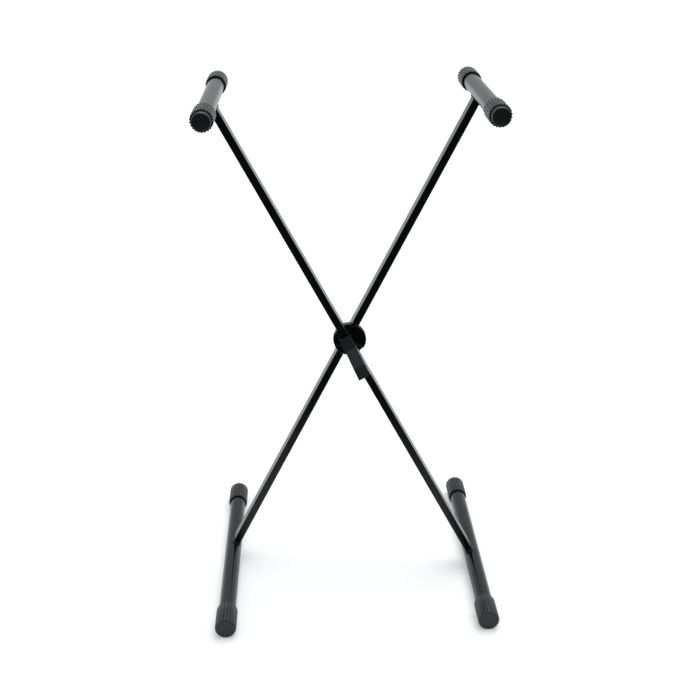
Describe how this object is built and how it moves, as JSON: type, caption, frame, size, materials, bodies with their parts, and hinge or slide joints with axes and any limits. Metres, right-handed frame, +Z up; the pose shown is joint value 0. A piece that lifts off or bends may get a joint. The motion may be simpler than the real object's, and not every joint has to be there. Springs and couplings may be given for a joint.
{
  "type": "folding keyboard stand",
  "caption": "Folding X-frame keyboard stand: two flat legs crossing at a round clutch, round feet and arms with ribbed caps, and a trigger lever with a sprung lock pin.",
  "frame": {"origin": "on the floor under the pivot, at the middle of the stand's footprint", "axes": "+Z up; +X to the right as seen from the front; -Y is the front, where the lever is; the feet and arms run along Y"},
  "size_m": [0.4682, 0.473, 0.8549],
  "materials": {
    "black_paint": "gloss black powder paint",
    "cap_rubber": "satin black rubber",
    "lever_plastic": "satin black moulded plastic",
    "blackened_steel": "blackened steel",
    "spring_steel": "bright wire",
    "friction_plastic": "natural nylon"
  },
  "bodies": {
    "rear_frame": {"rear_leg_tube": "black_paint", "rear_weld_beads": "black_paint", "rear_foot_tube": "black_paint", "rear_arm_tube": "black_paint", "rear_foot_cap_front": "cap_rubber", "rear_foot_cap_back": "cap_rubber", "rear_arm_cap_front": "cap_rubber", "rear_arm_cap_back": "cap_rubber", "rear_pivot_bush": "blackened_steel", "index_plate": "black_paint"},
    "front_frame": {"front_leg_tube": "black_paint", "front_weld_beads": "black_paint", "front_foot_tube": "black_paint", "front_arm_tube": "black_paint", "front_foot_cap_front": "cap_rubber", "front_foot_cap_back": "cap_rubber", "front_arm_cap_front": "cap_rubber", "front_arm_cap_back": "cap_rubber", "front_pivot_bush": "blackened_steel", "front_clutch_plate": "black_paint", "friction_washer": "friction_plastic", "pivot_bolt": "blackened_steel", "pivot_washer": "blackened_steel", "pivot_nut": "blackened_steel", "lever_bracket": "black_paint", "lever_hinge_pin": "blackened_steel", "lock_spring": "spring_steel"},
    "lever": {"release_lever": "lever_plastic"},
    "lock_pin": {"lock_pin": "blackened_steel", "lock_pin_link": "blackened_steel"}
  },
  "joints": [
    {"name": "frame_fold", "type": "hinge", "parent": "rear_frame", "child": "front_frame", "pos_m": [0, 0, 0.43013], "axis": [0, 1, 0], "range_deg": [-36, 50.8]},
    {"name": "lock_pin_slide", "type": "slide", "parent": "front_frame", "child": "lock_pin", "axis": [0, -1, 0], "range_m": [0, 0.0057], "stiffness_N_per_m": 600, "springref_m": -0.01, "deforming": ["lock_spring"]},
    {"name": "lever_pull", "type": "hinge", "parent": "front_frame", "child": "lever", "pos_m": [-0.00558, -0.0422, 0.44076], "axis": [-0.8855, 0, -0.4647], "range_deg": [0, 11]}
  ],
  "couplings": [
    {"joint": "lever_pull", "follows": "lock_pin_slide", "rad_per_m": 32.6}
  ]
}
